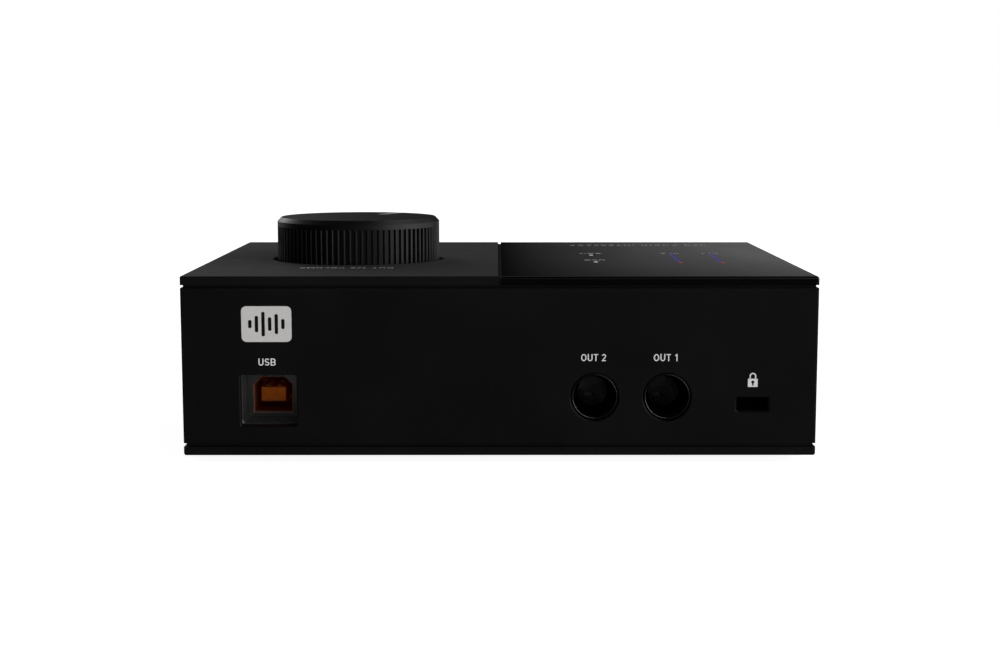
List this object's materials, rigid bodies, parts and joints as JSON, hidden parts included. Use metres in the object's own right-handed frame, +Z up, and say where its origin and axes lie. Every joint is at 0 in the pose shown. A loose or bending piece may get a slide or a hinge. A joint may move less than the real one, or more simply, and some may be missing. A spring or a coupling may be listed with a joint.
{
  "type": "audio interface",
  "caption": "Low rectangular desktop audio interface with a large ribbed volume knob and glossy meter panel on top, USB port and output jacks behind, combination inputs and knobs in front.",
  "frame": {"origin": "on the table, under the centre of the whole object's box, front knobs included", "axes": "+X right and +Y to the rear for someone facing the front panel, +Z up"},
  "size_m": [0.14, 0.108, 0.052],
  "materials": {
    "housing": "fine matte",
    "matte_cover": "fine matte",
    "gloss_cover": "polished",
    "base": "fine matte",
    "foot_rubber": "matte",
    "volume_knob": "satin",
    "pointer": "satin",
    "small_knob": "satin",
    "button": "satin",
    "screw": "black oxide",
    "circuit_board": "solder mask",
    "board_plug": "moulded",
    "ribbon": "satin",
    "chip": "moulded",
    "can": "satin",
    "ferrite": "matte",
    "lamp": "clear",
    "light_blue": "lit",
    "light_red": "lit",
    "light_white": "lit",
    "port_surround": "matte",
    "shield": "tin plate",
    "port_lining": "satin",
    "contact": "gold flash",
    "lock_steel": "zinc plate",
    "jack_body": "moulded",
    "socket_body": "moulded",
    "pot_body": "moulded",
    "nut": "nickel",
    "shaft": "turned",
    "switch_body": "moulded"
  },
  "bodies": {
    "chassis": {"bottom_plate": "base", "rubber_feet": "foot_rubber", "case_screws": "screw", "housing": "housing", "volume_cover": "matte_cover", "display_cover": "gloss_cover", "main_board": "circuit_board", "top_board": "circuit_board", "front_board": "circuit_board", "board_screws": "screw", "board_connectors": "board_plug", "ribbon_cable": "ribbon", "board_chips": "chip", "board_capacitors": "can", "boost_coil": "ferrite", "board_leds": "lamp", "in_1_signal_lights": "light_blue", "in_2_signal_lights": "light_blue", "clip_lights": "light_red", "status_lights": "light_white", "usb_surround": "port_surround", "usb_shell": "shield", "usb_insulator": "port_lining", "usb_contacts": "contact", "lock_bracket": "lock_steel", "out_1_jack": "jack_body", "out_2_jack": "jack_body", "phones_jack": "jack_body", "out_1_contacts": "contact", "out_2_contacts": "contact", "phones_contacts": "contact", "input_1_socket": "socket_body", "input_2_socket": "socket_body", "input_1_contacts": "contact", "input_2_contacts": "contact", "volume_pot": "pot_body", "volume_pot_nut": "nut", "gain_1_pot": "pot_body", "gain_2_pot": "pot_body", "mix_pot": "pot_body", "phones_pot": "pot_body", "line_1_switch": "switch_body", "line_2_switch": "switch_body", "phantom_switch": "switch_body", "mono_switch": "switch_body"},
    "volume": {"volume_knob": "volume_knob", "volume_pointer": "pointer", "volume_shaft": "shaft"},
    "gain_1": {"gain_1_knob": "small_knob", "gain_1_shaft": "shaft"},
    "gain_2": {"gain_2_knob": "small_knob", "gain_2_shaft": "shaft"},
    "mix": {"mix_knob": "small_knob", "mix_shaft": "shaft"},
    "phones": {"phones_knob": "small_knob", "phones_shaft": "shaft"},
    "line_1": {"line_1_button": "button"},
    "line_2": {"line_2_button": "button"},
    "phantom": {"phantom_button": "button"},
    "mono": {"mono_button": "button"}
  },
  "joints": [
    {"name": "volume_turn", "type": "hinge", "parent": "chassis", "child": "volume", "pos_m": [0.03482, 0.005, 0.045], "axis": [0, 0, -1], "range_deg": [0, 300]},
    {"name": "gain_1_turn", "type": "hinge", "parent": "chassis", "child": "gain_1", "pos_m": [-0.029, -0.05, 0.0304], "axis": [0, 1, 0], "range_deg": [0, 300]},
    {"name": "gain_2_turn", "type": "hinge", "parent": "chassis", "child": "gain_2", "pos_m": [0.012, -0.05, 0.0304], "axis": [0, 1, 0], "range_deg": [0, 300]},
    {"name": "mix_turn", "type": "hinge", "parent": "chassis", "child": "mix", "pos_m": [0.0315, -0.05, 0.0304], "axis": [0, 1, 0], "range_deg": [-150, 150]},
    {"name": "phones_turn", "type": "hinge", "parent": "chassis", "child": "phones", "pos_m": [0.054, -0.05, 0.0304], "axis": [0, 1, 0], "range_deg": [0, 300]},
    {"name": "line_1_press", "type": "slide", "parent": "chassis", "child": "line_1", "axis": [0, 1, 0], "range_m": [0, 0.0015], "stiffness_N_per_m": 250, "springref_m": -0.0012},
    {"name": "line_2_press", "type": "slide", "parent": "chassis", "child": "line_2", "axis": [0, 1, 0], "range_m": [0, 0.0015], "stiffness_N_per_m": 250, "springref_m": -0.0012},
    {"name": "phantom_press", "type": "slide", "parent": "chassis", "child": "phantom", "axis": [0, 1, 0], "range_m": [0, 0.0015], "stiffness_N_per_m": 250, "springref_m": -0.0012},
    {"name": "mono_press", "type": "slide", "parent": "chassis", "child": "mono", "axis": [0, 1, 0], "range_m": [0, 0.0015], "stiffness_N_per_m": 250, "springref_m": -0.0012}
  ]
}
